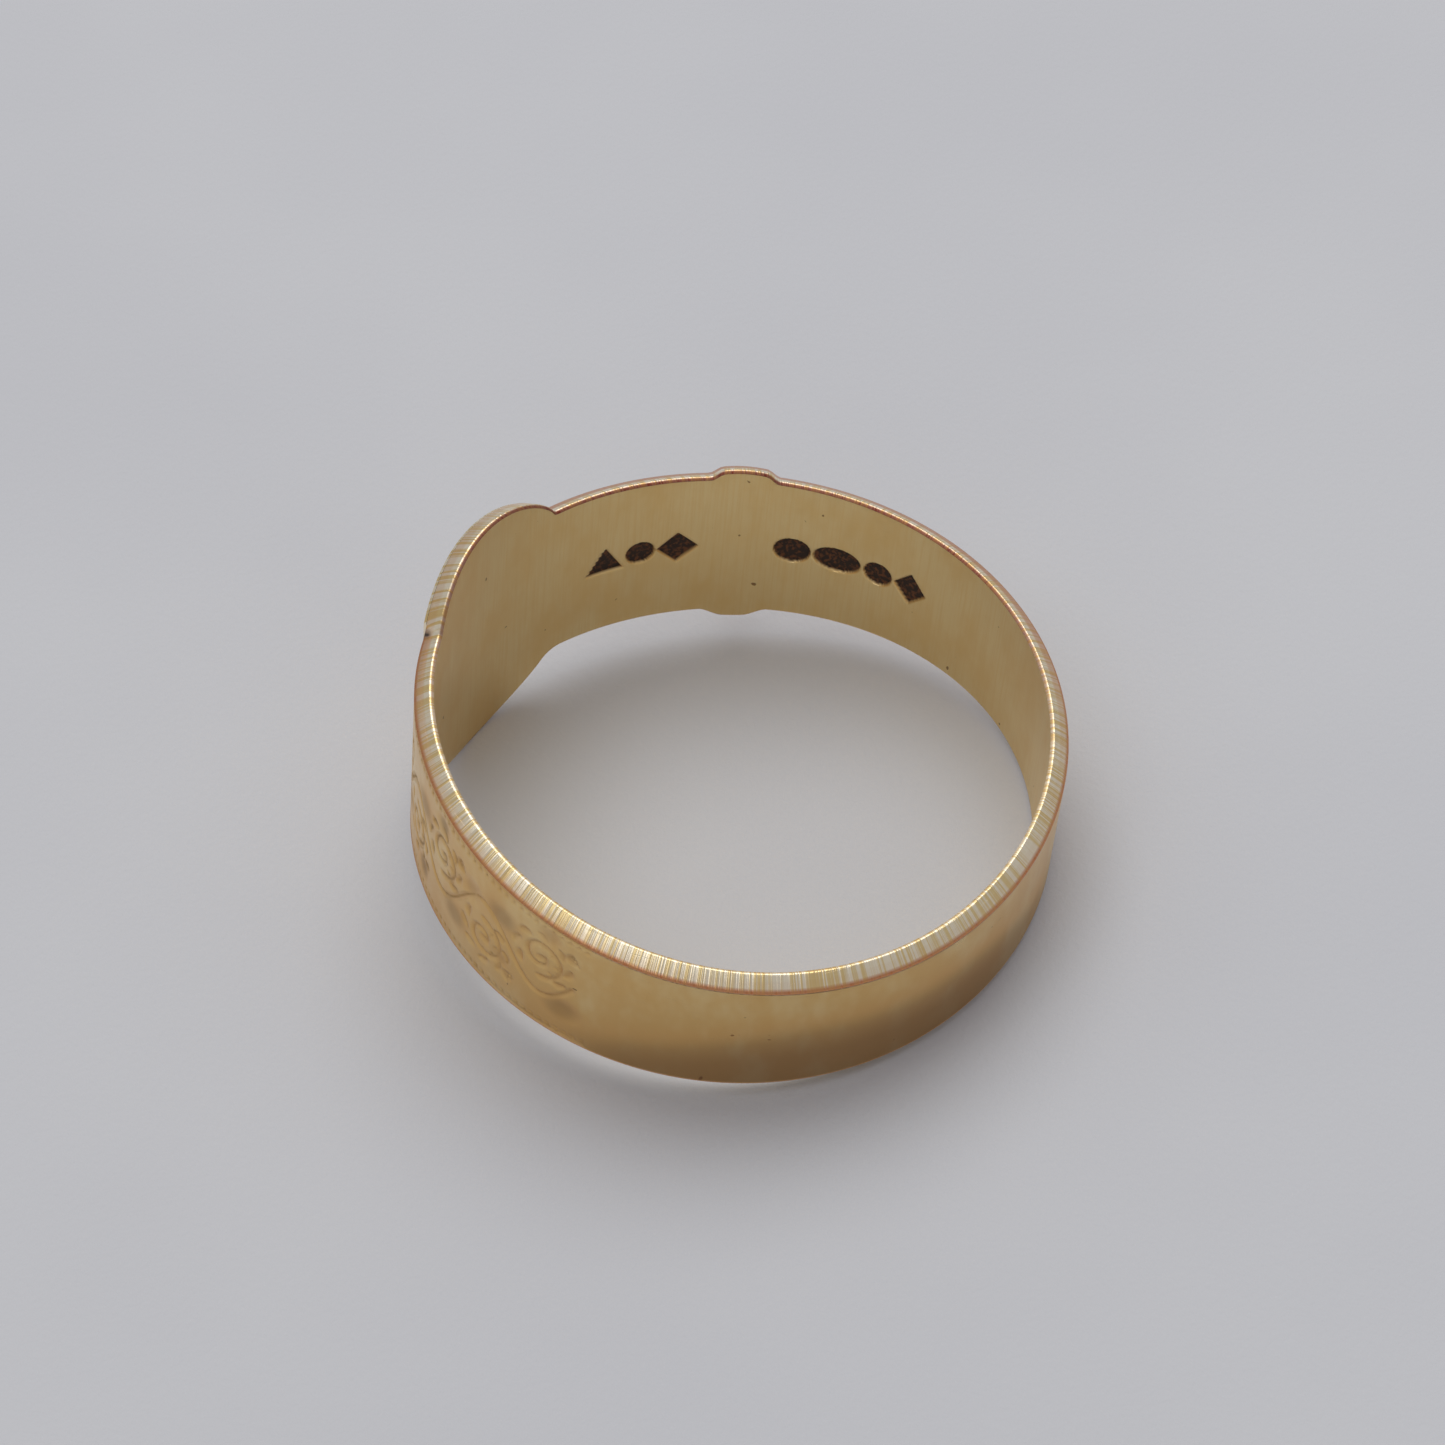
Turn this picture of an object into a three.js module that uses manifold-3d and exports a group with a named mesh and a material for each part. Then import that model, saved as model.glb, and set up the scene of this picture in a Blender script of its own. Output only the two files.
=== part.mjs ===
// A buckle-pattern wedding band in 9 carat yellow gold, built as a goldsmith builds it: a shaped band
// that closes on itself, and four pieces soldered onto its outer face (belt end, buckle frame, tongue,
// keeper).
//
// The ring is drawn upright first: its bore runs along Z through the origin, and the middle of the
// buckle faces -Y. Angles round the ring start at the buckle and grow towards +X. At the end the whole
// ring is leaned over, because the buckle is wider than the palm side and the ring rests on both.
import * as THREE from "three";
import { mergeVertices } from "three/addons/utils/BufferGeometryUtils.js";
import Module from "manifold-3d";

const wasm = await Module();
wasm.setup();

// Driving dimensions, in millimetres unless the name says degrees.
const INNER_DIAMETER = 18.1;
const WALL = 0.57;
const SOLDER_FILM = 0.02;

// The filed rim: a flat land beside the bore, then a rounded shoulder down to the outer face.
const LAND = 0.16;
const SHOULDER_RADIAL = 0.43;
const SHOULDER_DROP = 0.14;
const EDGE_DROP = 0.32;

// The ring is a little three-cornered, as a bent strip with one stiff side is.
const OUT_OF_ROUND = 0.12;
const OUT_OF_ROUND_LOBES = 3;
const OUT_OF_ROUND_TURN_DEG = 8;

const PALM_WIDTH = 4.6;
const PALM_FLAT_FROM_DEG = 165;
const HEAD_WIDTH = 6.4;
const BUCKLE_WIDTH = 9.4;
const BUCKLE_HALF_SPAN_DEG = 19;
const BUCKLE_ARCH_POWER = 0.75;
const KEEPER_DEG = -58;
const KEEPER_HALF_SPAN_DEG = 6.5;
const KEEPER_RISE = 0.34;

const BELT_THICKNESS = 0.18;
const BELT_START_DEG = -17.7;
const BELT_TIP_DEG = -86;
const BELT_HALF_WIDTH = 2.2;
const BELT_POINT = 1.9;
const BELT_POINT_FULLNESS = 0.8;

const FRAME_THICKNESS = 0.2;
const FRAME_MARGIN = 0.02;
const WINDOW_HALF_LENGTH = 1.85;
const WINDOW_HALF_WIDTH = 2.35;
const WINDOW_CORNER = 0.5;

const TONGUE_THICKNESS = 0.22;
const TONGUE_SEAT = 0.09;
const TONGUE_HEEL = 0.5;
const TONGUE_TIP = 0.27;
const TONGUE_END_MARGIN = 0.3;
const TONGUE_CLEARANCE = 0.03;

const KEEPER_THICKNESS = 0.22;
const KEEPER_EDGE_HEIGHT = 0.05;
const KEEPER_FOOT_INSET = 0.15;
const KEEPER_SHOULDER = 0.75;
const KEEPER_END_MARGIN = 0.3;
const KEEPER_PROFILE_STEPS = 8;

const MARK_DEPTH = 0.1;
const MARK_STEPS = 16;

const SEGMENTS = 180;
const CURVE_STEPS = 12;
const REACH = 12;
const CUTTER_HALF_HEIGHT = 6;
const DEG = Math.PI / 180;

const BORE_RADIUS = INNER_DIAMETER / 2;
const OUTER_RADIUS = BORE_RADIUS + WALL;
const SEAT_RADIUS = OUTER_RADIUS + SOLDER_FILM;

// Half the band's width at an angle from the buckle: a cosine taper from the head to a parallel palm
// side, with an arched lobe under the buckle and a smaller one under the keeper.
function halfWidth(degrees) {
  const end = Math.cos(PALM_FLAT_FROM_DEG * DEG);
  const taper = (Math.max(Math.cos(degrees * DEG), end) - end) / (1 - end);
  const strap = (PALM_WIDTH + (HEAD_WIDTH - PALM_WIDTH) * taper) / 2;
  const buckleRise = (BUCKLE_WIDTH - HEAD_WIDTH) / 2;
  return (
    strap +
    buckleRise * arch(degrees, 0, BUCKLE_HALF_SPAN_DEG, BUCKLE_ARCH_POWER) +
    KEEPER_RISE * arch(degrees, KEEPER_DEG, KEEPER_HALF_SPAN_DEG)
  );
}

// 1 at the middle of a lobe, 0 at its ends and beyond them, round like half an ellipse.
function arch(degrees, middle, halfSpan, power = 0.5) {
  const share = (degrees - middle) / halfSpan;
  return Math.max(0, 1 - share * share) ** power;
}

// How far the ring's wall stands out from the true circle at an angle from the buckle.
function outOfRound(degrees) {
  return OUT_OF_ROUND * Math.cos(OUT_OF_ROUND_LOBES * (degrees - OUT_OF_ROUND_TURN_DEG) * DEG);
}

function degreesFromBuckle(x, y) {
  return Math.atan2(x, -y) / DEG;
}

function solidFrom(geometry) {
  const bare = geometry.index ? geometry.toNonIndexed() : geometry.clone();
  bare.deleteAttribute("normal");
  bare.deleteAttribute("uv");
  const merged = mergeVertices(bare, 1e-4);
  return new wasm.Manifold(
    new wasm.Mesh({
      numProp: 3,
      vertProperties: merged.attributes.position.array,
      triVerts: new Uint32Array(merged.index.array),
    }),
  );
}

function geometryFrom(solid) {
  const mesh = solid.getMesh();
  const geometry = new THREE.BufferGeometry();
  geometry.setAttribute("position", new THREE.BufferAttribute(mesh.vertProperties, 3));
  geometry.setIndex(new THREE.BufferAttribute(mesh.triVerts, 1));
  return geometry;
}

// A closed profile of [radius, height] points turned round the bore. Angle 0 is at the buckle (-Y).
function turned(profile) {
  const points = [...profile, profile[0]].map(([radius, height]) => new THREE.Vector2(radius, height));
  return new THREE.LatheGeometry(points, SEGMENTS).rotateX(Math.PI / 2);
}

function turnedTube(inner, outer) {
  return solidFrom(
    turned([
      [inner, -CUTTER_HALF_HEIGHT],
      [outer, -CUTTER_HALF_HEIGHT],
      [outer, CUTTER_HALF_HEIGHT],
      [inner, CUTTER_HALF_HEIGHT],
    ]),
  );
}

// A flat outline pushed outwards from the bore's axis, at an angle from the buckle.
function radialPrism(shape, degrees) {
  const options = { depth: REACH, bevelEnabled: false, curveSegments: CURVE_STEPS };
  return solidFrom(new THREE.ExtrudeGeometry(shape, options).rotateX(Math.PI / 2).rotateZ(degrees * DEG));
}

// A plate bent to the ring: the outline's shape, between two radii.
function bentPlate(shape, degrees, inner, outer) {
  return turnedTube(inner, outer).intersect(radialPrism(shape, degrees));
}

// The band: a ring turned at the buckle's full width, drawn in to the outline and punched inside.
function bandSolid() {
  const top = BUCKLE_WIDTH / 2;
  const upperRim = [
    [OUTER_RADIUS, top - EDGE_DROP],
    [BORE_RADIUS + SHOULDER_RADIAL, top - SHOULDER_DROP],
    [BORE_RADIUS + LAND, top],
    [BORE_RADIUS, top],
  ];
  const lowerRim = upperRim.map(([radius, height]) => [radius, -height]).reverse();
  const ring = turned([...lowerRim, ...upperRim]);
  const position = ring.attributes.position;
  for (let i = 0; i < position.count; i++) {
    const height = position.getZ(i);
    const drawnIn = top - halfWidth(degreesFromBuckle(position.getX(i), position.getY(i)));
    position.setZ(i, height - Math.sign(height) * drawnIn);
  }
  const pocketTube = turnedTube(BORE_RADIUS - MARK_DEPTH, BORE_RADIUS + MARK_DEPTH);
  let band = solidFrom(ring);
  for (const mark of insideMarks()) {
    band = band.subtract(pocketTube.intersect(radialPrism(mark.shape, mark.degrees)));
  }
  return band;
}

// Plain geometric punch marks inside the band: a triangle, a dot and a square on one side of the
// keeper, and a disc, an oval, a small disc and a lozenge on the other.
function insideMarks() {
  return [
    { degrees: -31, shape: regularShape(3, 0.74) },
    { degrees: -38.3, shape: regularShape(MARK_STEPS, 0.48) },
    { degrees: -45.8, shape: regularShape(4, 0.68) },
    { degrees: -68.5, shape: regularShape(MARK_STEPS, 0.54, 1.1) },
    { degrees: -77.5, shape: regularShape(MARK_STEPS, 0.52, 1.5) },
    { degrees: -86, shape: regularShape(MARK_STEPS, 0.48) },
    { degrees: -93, shape: regularShape(4, 0.68, 0.85) },
  ];
}

function regularShape(corners, radius, stretch = 1) {
  const points = [];
  for (let i = 0; i < corners; i++) {
    const turn = (2 * Math.PI * i) / corners + Math.PI / 2;
    points.push(new THREE.Vector2(radius * stretch * Math.cos(turn), radius * Math.sin(turn)));
  }
  return new THREE.Shape(points);
}

// The belt's free end: a thin strip from the buckle, under the keeper, to a pointed tip.
function beltEndSolid() {
  const middle = (BELT_START_DEG + BELT_TIP_DEG) / 2;
  const halfLength = OUTER_RADIUS * Math.sin((BELT_START_DEG - BELT_TIP_DEG) * 0.5 * DEG);
  const shoulder = BELT_POINT - halfLength;
  const bulge = BELT_POINT / 3 - halfLength;
  const shape = new THREE.Shape();
  shape.moveTo(halfLength, -BELT_HALF_WIDTH);
  shape.lineTo(halfLength, BELT_HALF_WIDTH);
  shape.lineTo(shoulder, BELT_HALF_WIDTH);
  shape.quadraticCurveTo(bulge, BELT_HALF_WIDTH * BELT_POINT_FULLNESS, -halfLength, 0);
  shape.quadraticCurveTo(bulge, -BELT_HALF_WIDTH * BELT_POINT_FULLNESS, shoulder, -BELT_HALF_WIDTH);
  return bentPlate(shape, middle, SEAT_RADIUS, SEAT_RADIUS + BELT_THICKNESS);
}

// Half the buckle frame's length along the ring, up to the filed edge of the lobe it stands on.
function frameHalfLength() {
  return OUTER_RADIUS * Math.sin(BUCKLE_HALF_SPAN_DEG * DEG) - EDGE_DROP - FRAME_MARGIN;
}

// The buckle's frame follows the lobe's arches, and is open in the middle where the belt shows. A
// shallow slot across both end bars seats the tongue.
function buckleFrameSolid() {
  const halfLength = frameHalfLength();
  const shoulder = HEAD_WIDTH / 2 - EDGE_DROP - FRAME_MARGIN;
  const archHeight = (BUCKLE_WIDTH - HEAD_WIDTH) / 2;
  const outline = new THREE.Shape();
  outline.moveTo(-halfLength, -shoulder);
  outline.absellipse(0, -shoulder, halfLength, archHeight, Math.PI, 2 * Math.PI, false);
  outline.lineTo(halfLength, shoulder);
  outline.absellipse(0, shoulder, halfLength, archHeight, 0, Math.PI, false);
  outline.closePath();
  outline.holes.push(roundedWindow());
  const frame = bentPlate(outline, 0, SEAT_RADIUS, SEAT_RADIUS + FRAME_THICKNESS);
  const slot = bentPlate(tongueShape(TONGUE_CLEARANCE), 0, SEAT_RADIUS + TONGUE_SEAT, REACH);
  return frame.subtract(slot);
}

function roundedWindow() {
  const x = WINDOW_HALF_LENGTH - WINDOW_CORNER;
  const y = WINDOW_HALF_WIDTH - WINDOW_CORNER;
  const quarter = Math.PI / 2;
  const window = new THREE.Path();
  window.absarc(x, -y, WINDOW_CORNER, -quarter, 0, false);
  window.absarc(x, y, WINDOW_CORNER, 0, quarter, false);
  window.absarc(-x, y, WINDOW_CORNER, quarter, 2 * quarter, false);
  window.absarc(-x, -y, WINDOW_CORNER, 2 * quarter, 3 * quarter, false);
  window.closePath();
  return window;
}

// The tongue tapers from its round heel, on the keeper's side of the buckle, to a rounded tip.
function tongueShape(extra) {
  const end = frameHalfLength() - TONGUE_END_MARGIN;
  const quarter = Math.PI / 2;
  const shape = new THREE.Shape();
  shape.absarc(end - TONGUE_TIP, 0, TONGUE_TIP + extra, -quarter, quarter, false);
  shape.absarc(TONGUE_HEEL - end, 0, TONGUE_HEEL + extra, quarter, 3 * quarter, false);
  shape.closePath();
  return shape;
}

function buckleTongueSolid() {
  const inner = SEAT_RADIUS + TONGUE_SEAT + SOLDER_FILM;
  return bentPlate(tongueShape(0), 0, inner, inner + TONGUE_THICKNESS);
}

// The keeper: a low rounded loop that crosses the band over the belt end, with a foot at each edge.
function keeperLoopSolid() {
  const foot = halfWidth(KEEPER_DEG) - EDGE_DROP - KEEPER_FOOT_INSET;
  const tunnel = BELT_HALF_WIDTH + 2 * SOLDER_FILM;
  const roof = SEAT_RADIUS + BELT_THICKNESS + SOLDER_FILM;
  const crown = roof + KEEPER_THICKNESS - SEAT_RADIUS - KEEPER_EDGE_HEIGHT;
  const profile = [
    [SEAT_RADIUS, foot],
    [SEAT_RADIUS, tunnel],
    [roof, tunnel],
    [roof, -tunnel],
    [SEAT_RADIUS, -tunnel],
    [SEAT_RADIUS, -foot],
  ];
  const shoulder = [];
  for (let i = 0; i <= KEEPER_PROFILE_STEPS; i++) {
    const share = i / KEEPER_PROFILE_STEPS;
    const radius = SEAT_RADIUS + KEEPER_EDGE_HEIGHT + crown * Math.sin((share * Math.PI) / 2);
    shoulder.push([radius, foot - KEEPER_SHOULDER * share]);
  }
  profile.push(...shoulder.map(([radius, height]) => [radius, -height]), ...shoulder.reverse());
  const halfLength = OUTER_RADIUS * Math.sin(KEEPER_HALF_SPAN_DEG * DEG) - KEEPER_END_MARGIN;
  const strip = new THREE.Shape([
    new THREE.Vector2(-halfLength, -CUTTER_HALF_HEIGHT),
    new THREE.Vector2(halfLength, -CUTTER_HALF_HEIGHT),
    new THREE.Vector2(halfLength, CUTTER_HALF_HEIGHT),
    new THREE.Vector2(-halfLength, CUTTER_HALF_HEIGHT),
  ]);
  return solidFrom(turned(profile)).intersect(radialPrism(strip, KEEPER_DEG));
}

// A named piece in polished gold, with its wall moved off the true circle like its neighbours'.
function piece(name, solid, color, roughness) {
  const geometry = geometryFrom(solid);
  const position = geometry.attributes.position;
  for (let i = 0; i < position.count; i++) {
    const x = position.getX(i);
    const y = position.getY(i);
    const stretch = 1 + outOfRound(degreesFromBuckle(x, y)) / Math.hypot(x, y);
    position.setXY(i, x * stretch, y * stretch);
  }
  geometry.computeVertexNormals();
  const material = new THREE.MeshStandardMaterial({ color, roughness, metalness: 1 });
  const mesh = new THREE.Mesh(geometry, material);
  mesh.name = name;
  return mesh;
}

const ring = new THREE.Group();
ring.add(piece("band", bandSolid(), 0xc2a468, 0.3));
ring.add(piece("belt_end", beltEndSolid(), 0xbd9d60, 0.34));
ring.add(piece("buckle_frame", buckleFrameSolid(), 0xc6a668, 0.26));
ring.add(piece("buckle_tongue", buckleTongueSolid(), 0xc9aa6c, 0.24));
ring.add(piece("keeper_loop", keeperLoopSolid(), 0xc4a466, 0.28));

// Resting pose: the ring leans on the inner edge of the buckle's lower lobe and on the outer edge of
// the palm side's land, so those two share one height. The origin is on the table, under the middle
// of the ring's box.
const headContact = BORE_RADIUS + outOfRound(0);
const palmContact = BORE_RADIUS + LAND + outOfRound(180);
const restLean = Math.atan2(halfWidth(0) - halfWidth(180), headContact + palmContact);
ring.rotation.x = -restLean;
const box = new THREE.Box3().setFromObject(ring, true);
const middle = box.getCenter(new THREE.Vector3());
ring.position.set(-middle.x, -middle.y, -box.min.z);

const group = new THREE.Group();
group.add(ring);

export default group;
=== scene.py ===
import math

import bmesh
import bpy
import numpy as np
from mathutils import Matrix, Vector


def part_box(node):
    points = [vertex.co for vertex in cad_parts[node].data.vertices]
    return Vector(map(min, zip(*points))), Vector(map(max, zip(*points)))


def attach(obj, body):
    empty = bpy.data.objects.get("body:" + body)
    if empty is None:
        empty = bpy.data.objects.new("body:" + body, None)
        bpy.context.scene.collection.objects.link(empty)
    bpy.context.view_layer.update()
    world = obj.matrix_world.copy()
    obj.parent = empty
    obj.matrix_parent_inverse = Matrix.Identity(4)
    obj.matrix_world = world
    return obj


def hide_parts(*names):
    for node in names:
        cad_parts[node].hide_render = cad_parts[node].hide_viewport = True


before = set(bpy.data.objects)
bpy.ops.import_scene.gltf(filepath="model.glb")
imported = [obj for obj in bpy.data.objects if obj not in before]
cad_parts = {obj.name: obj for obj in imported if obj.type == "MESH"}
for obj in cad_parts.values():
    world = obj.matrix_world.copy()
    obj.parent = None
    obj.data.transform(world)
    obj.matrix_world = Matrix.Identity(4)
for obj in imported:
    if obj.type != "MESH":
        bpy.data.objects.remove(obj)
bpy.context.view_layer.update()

MM = 0.001
DEG = math.pi / 180

# The ring's driving dimensions, the same as the CAD's.
BORE_RADIUS = 9.05
WALL = 0.57
SOLDER_FILM = 0.02
LAND = 0.16
EDGE_DROP = 0.32
OUT_OF_ROUND = 0.12
OUT_OF_ROUND_LOBES = 3
OUT_OF_ROUND_TURN = 8
PALM_WIDTH = 4.6
PALM_FLAT_FROM = 165
HEAD_WIDTH = 6.4
BUCKLE_WIDTH = 9.4
BUCKLE_HALF_SPAN = 19
ARCH_POWER = 0.75
KEEPER_AT = -58
KEEPER_HALF_SPAN = 6.5
KEEPER_RISE = 0.34
BELT_THICKNESS = 0.18
BELT_START = -17.7
BELT_TIP = -86
BELT_HALF_WIDTH = 2.2
BELT_POINT = 1.9
FRAME_THICKNESS = 0.2
FRAME_MARGIN = 0.02
WINDOW_HALF_LENGTH = 1.85
WINDOW_HALF_WIDTH = 2.35
TONGUE_THICKNESS = 0.22
TONGUE_SEAT = 0.09
TONGUE_HEEL = 0.5
TONGUE_TIP = 0.27
TONGUE_END_MARGIN = 0.3
KEEPER_THICKNESS = 0.22
KEEPER_EDGE_HEIGHT = 0.05
KEEPER_FOOT_INSET = 0.15
KEEPER_SHOULDER = 0.75
KEEPER_END_MARGIN = 0.3
MARK_DEPTH = 0.1

OUTER_RADIUS = BORE_RADIUS + WALL
ARC = OUTER_RADIUS * DEG  # millimetres along the outer face for each degree
FACET_GAP = 0.002  # keeps the smooth walls inside the CAD's flat facets
SEAM = 0.004  # between the band and the foot of the buckle's frame, inside the solder film

# The filed rim: its crest beside the bore, the slope beyond, and its worn edges, in millimetres.
CREST = 0.12
CREST_DROP = 0.05
RIM_POWER = 1.1
FILLET = 0.02
EDGE_LINE = 0.09

# Finer shapes of the punched dents and the soldered pieces, in millimetres.
MARK_EDGE = 0.05
TONGUE_UNDERSIDE = 0.02
HAND_WAVE = 0.003
TIP_THINNING = 0.03
BELT_BEVEL = 0.06
BELT_POINT_SPAN = 12  # degrees over which the belt's pointed tip narrows
KEEPER_REED_DEPTH = 0.09
KEEPER_REEDS = 3
KEEPER_SIDE_ROUND = 0.12

# The buckle's frame: its low filed edge, the line cut round its border as distances in from that edge
# and depths, how far the border reaches and rises to the domed bar, and the bevel round the window.
FRAME_EDGE = 0.06
FRAME_LINE = [(0.13, 0.02), (0.155, 0.045), (0.18, 0.02)]
FRAME_BORDER = 0.2
BORDER_RISE = 0.04
WINDOW_BEVEL = 0.09

# The engraved panel on the plain side of the buckle, in degrees, and its scrolls, in millimetres.
ENGRAVING_DEPTH = 0.07
ENGRAVED_FROM = 21
ENGRAVED_TO = 95
SCROLL_PITCH = 2.35
SCROLL_SIZE = 0.88
SCROLL_OFFSET = 0.66
SCROLL_TURNS = 1.3
STEM_SWING = 1.0
BELT_CURLS = 4
LEAVES = 7
LEAF_TURN = 0.24 * math.pi
NICK_PITCH = 0.3
CUT_SLOPE = 0.09  # a cut this wide or wider goes to full depth

# Where the engraving's ground is cut away and has darkened: degrees, height and radius.
GROUND_SPOTS = [
    (57, 1.9, 0.6),
    (48, -1.8, 0.7),
    (67.5, 0.9, 0.7),
    (76, -0.9, 0.5),
    (87, 1.8, 0.6),
    (91.5, -1.1, 0.6),
]

# Painted reflection, painted shade and dirt, in degrees: the middle of the rim's stretch with painted
# copper-red edges, and the painted shade along the lower edge by the palm.
EDGE_REFLECTION_AT = -55
LOWER_SHADE_FROM = 90
LOWER_SHADE_FULL = 136
LOWER_SHADE_FADES = 165
LOWER_SHADE_TO = 215
SHADED_CURLS = 5

# Depths of the material's marks: fine lines in millimetres, filing in lines, and broad unevenness.
LINE_DEPTH = 0.005
FILING_DEPTH = 8.0
HAMMER_DEPTH = 0.008

# Columns of the mesh round the strap, as (from, to, step) in degrees: fine where it is cut or dented.
STRAP_FROM = BUCKLE_HALF_SPAN
STRAP_TO = 360 - BUCKLE_HALF_SPAN
FACE_RUNS = [(STRAP_FROM, ENGRAVED_TO + 3, 0.36), (ENGRAVED_TO + 3, 265, 1.3), (265, STRAP_TO, 0.8)]
BORE_RUNS = [(STRAP_FROM, 28, 0.7), (28, 262, 1.1), (262, 331, 0.26), (331, STRAP_TO, 0.7)]
STRAP_GAP = 0.15  # degrees between the buckle lobe's corner and the strap's first column
FACE_ROWS = 78
DENTED_SHARE = 0.3  # the dents lie within this share of the bore's half width

# Columns are numbered by their order round the outline: the lobe 0 to 1, its right corner 1 to 2, the
# strap 2 to 3 and the left corner 3 to 4. Painted shade darkens the rim at NOTCH_ORDER, in the right
# corner.
LOOP_ORDER = 4.0
NOTCH_ORDER = 1.6

# The outline's two sides. The upper corners beside the lobes are crisp and the lower ones filed soft.
# Corner radius in millimetres, and the degrees over which the keeper's lobe rises.
UPPER = {"corner": 0.12, "flank": 2.4}
LOWER = {"corner": 1.0, "flank": 4.5}


# ---- the ring's plan ------------------------------------------------------------------------------------


def arch(degrees, middle, half_span, power=0.5):
    """1 at the middle of a lobe, 0 at its ends and beyond, round like half an ellipse."""
    share = (degrees - middle) / half_span
    return np.maximum(0, 1 - share * share) ** power


def smooth(low, high, x):
    """0 below low, 1 above high, and an S-curve in between."""
    t = np.clip((x - low) / (high - low), 0, 1)
    return t * t * (3 - 2 * t)


def strap_half_width(degrees):
    """Half the band's width without its lobes."""
    end = math.cos(PALM_FLAT_FROM * DEG)
    taper = (np.maximum(np.cos(degrees * DEG), end) - end) / (1 - end)
    return (PALM_WIDTH + (HEAD_WIDTH - PALM_WIDTH) * taper) / 2


def keeper_lobe(degrees, flank_width):
    """The keeper's small lobe: sloping flanks and a gently arched crest."""
    away = np.abs(degrees - KEEPER_AT)
    flank = 1 - smooth(KEEPER_HALF_SPAN - flank_width, KEEPER_HALF_SPAN, away)
    crest = arch(degrees, KEEPER_AT, KEEPER_HALF_SPAN, 1.0)
    return KEEPER_RISE * (0.6 * flank + 0.4 * crest)


def out_of_round(degrees):
    """How far the wall stands out from a true circle."""
    return OUT_OF_ROUND * np.cos(OUT_OF_ROUND_LOBES * (degrees - OUT_OF_ROUND_TURN) * DEG)


def ring_points(degrees, radius, height):
    """Points of the ring from angle, radius and height, as rows of x, y, z."""
    degrees, radius, height = np.broadcast_arrays(degrees, radius, height)
    r = radius + out_of_round(degrees) - FACET_GAP
    points = np.stack([r * np.sin(degrees * DEG), -r * np.cos(degrees * DEG), height], axis=-1)
    return points.reshape(-1, 3)


def lobe_curve(phi):
    """The buckle lobe's edge at a half-circle parameter: along, height, and the outward normal."""
    length = BUCKLE_HALF_SPAN * ARC
    rise = (BUCKLE_WIDTH - HEAD_WIDTH) / 2
    along = length * np.cos(phi)
    height = rise * np.sin(phi) ** (2 * ARCH_POWER)
    slope = -2 * ARCH_POWER * rise * np.sin(phi) ** (2 * ARCH_POWER - 2) * np.cos(phi) / length
    normal = np.stack([-slope, np.ones_like(slope)], axis=-1) / np.hypot(slope, 1)[..., None]
    return along, height, normal


def corner_start(radius):
    """Where a corner of this radius, standing on the strap's edge, touches the lobe's edge."""
    low, high = 0.001, math.pi / 2
    for _ in range(40):
        middle = (low + high) / 2
        _, height, normal = lobe_curve(np.array(middle))
        too_low = height < radius * (1 - normal[1])
        low, high = (middle, high) if too_low else (low, middle)
    return (low + high) / 2


def outline(side, strap_runs, lobe_steps=72, corner_steps=9):
    """One side of the band's outline, once round from the left end of the buckle's lobe.

    Each column has an order number, an angle, a height and the outline's outward normal along and
    across the strip. strap_runs holds (from, to, step) in degrees for the stretch between the lobe's
    ends. Both of the lobe's corners are rounded with a fan of columns.
    """
    radius = side["corner"]
    start = corner_start(radius)
    along, height, normal = lobe_curve(np.linspace(math.pi - start, start, lobe_steps))

    fan = np.linspace(0, 1, corner_steps + 2)[1:]
    end_turn = math.atan2(normal[-1, 1], normal[-1, 0])
    turn = end_turn + (math.pi / 2 - end_turn) * fan
    right = np.stack([np.cos(turn), np.sin(turn)], axis=1)
    centre = np.array([along[-1], height[-1]]) + radius * normal[-1]
    corner = centre - radius * right
    edge = corner[-1, 0] / ARC

    strap = np.concatenate([np.arange(a, b, step) for a, b, step in strap_runs])
    place = (strap - strap[0]) / (strap[-1] - strap[0])
    push = edge + STRAP_GAP - BUCKLE_HALF_SPAN
    strap = strap + push * (smooth(60, STRAP_FROM, strap) - smooth(300, STRAP_TO, strap))
    up = np.stack([np.zeros_like(strap), np.ones_like(strap)], axis=1)

    degrees = np.concatenate([along / ARC, corner[:, 0] / ARC, strap, 360 - corner[::-1, 0] / ARC])
    extra = np.concatenate([height, corner[:, 1], np.zeros_like(strap), corner[::-1, 1]])
    left = right[::-1] * [-1, 1]
    normals = np.concatenate([normal, right, up, left])
    order = np.concatenate([np.linspace(0, 1, lobe_steps), 1 + fan, 2.001 + 0.998 * place, 3 + fan])
    wrapped = np.where(degrees > 180, degrees - 360, degrees)
    half = strap_half_width(wrapped) + np.maximum(extra, 0) + keeper_lobe(wrapped, side["flank"])
    lobe = np.concatenate([np.ones(lobe_steps), 1 - fan, np.zeros_like(strap), fan])
    return {"order": order, "degrees": wrapped, "half": half, "normal": normals, "lobe": lobe}


def filed_drop(radial, thickness):
    """How far the filed rim stands below its crest at a distance from the bore."""
    towards_bore = np.maximum(0, 1 - radial / CREST)
    outwards = np.maximum(0, (radial - CREST) / (thickness - CREST))
    return CREST_DROP * towards_bore**2 + EDGE_DROP * outwards**RIM_POWER


def rim_thickness(line):
    """The rim is filed as one face, across the wall alone or, at the lobe, across the frame's edge too."""
    return WALL + (SOLDER_FILM + FRAME_EDGE) * line["lobe"]


def drawn_in(line, inset):
    """The angles and half widths of an outline moved inwards from its edge."""
    degrees = line["degrees"] - inset * line["normal"][:, 0] / ARC
    half = line["half"] - inset * line["normal"][:, 1]
    return degrees, half


def rows_across(upper, lower, inset, share):
    """Angles and heights of rows from the lower outline (share -1) to the upper one (share 1)."""
    top_degrees, top_half = drawn_in(upper, inset)
    low_degrees, low_half = drawn_in(lower, inset)
    weight = (share[:, None] + 1) / 2
    return low_degrees + (top_degrees - low_degrees) * weight, (top_half + low_half) * weight - low_half


# ---- meshes ---------------------------------------------------------------------------------------------


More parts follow.
